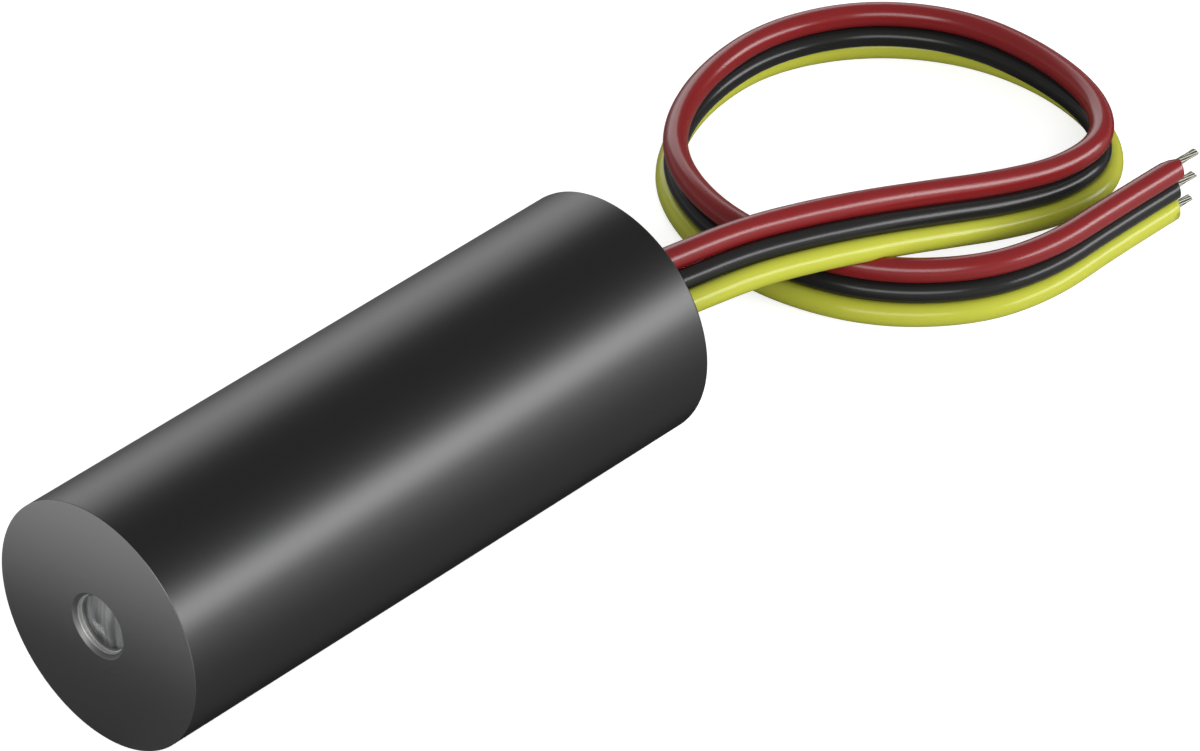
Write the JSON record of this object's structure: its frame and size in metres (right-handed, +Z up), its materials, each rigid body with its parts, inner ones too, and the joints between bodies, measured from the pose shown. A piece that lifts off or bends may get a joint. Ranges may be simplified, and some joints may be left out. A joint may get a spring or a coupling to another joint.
{
  "type": "laser diode module",
  "caption": "Plain cylindrical laser diode module with a beam hole in its front face, a lens and driver board inside, and bonded leads with bare ends that loop behind it.",
  "frame": {"origin": "on the surface that the module lies on, under the middle of its cylinder", "axes": "+Y along the cylinder from its front face to its rear, +Z up, beam leaves towards -Y, leads laid on the same surface behind it"},
  "size_m": [0.0235, 0.0664, 0.012],
  "materials": {
    "black_anodised": "satin black anodised",
    "barrel_metal": "fine turned",
    "lens_glass": "polished, coated",
    "brass": "turned",
    "spring_steel": "drawn wire",
    "plated_steel": "gold-flashed",
    "ceramic_white": "sintered",
    "chip_dark": "matt dark",
    "board_green": "lacquered board",
    "moulded_black": "moulded",
    "capacitor_tan": "fired",
    "solder": "bright solder",
    "jacket_red": "smooth extruded",
    "jacket_black": "smooth extruded",
    "jacket_yellow": "smooth extruded",
    "tinned_strands": "tinned copper"
  },
  "bodies": {
    "root": {"housing": "black_anodised", "lens_barrel": "barrel_metal", "collimating_lens": "lens_glass", "lens_retaining_ring": "brass", "focus_spring": "spring_steel", "diode_holder": "brass", "diode_clamp_ring": "brass", "diode_header": "plated_steel", "diode_cap": "plated_steel", "diode_window": "lens_glass", "laser_submount": "ceramic_white", "laser_chip": "chip_dark", "monitor_photodiode": "chip_dark", "diode_pins": "plated_steel", "driver_board": "board_green", "driver_chip": "moulded_black", "power_transistor": "moulded_black", "chip_resistors": "chip_dark", "chip_capacitors": "capacitor_tan", "solder_joints": "solder", "rear_plug": "moulded_black", "red_lead": "jacket_red", "black_lead": "jacket_black", "yellow_lead": "jacket_yellow", "red_lead_tips": "tinned_strands", "black_lead_tips": "tinned_strands", "yellow_lead_tips": "tinned_strands"}
  },
  "joints": []
}
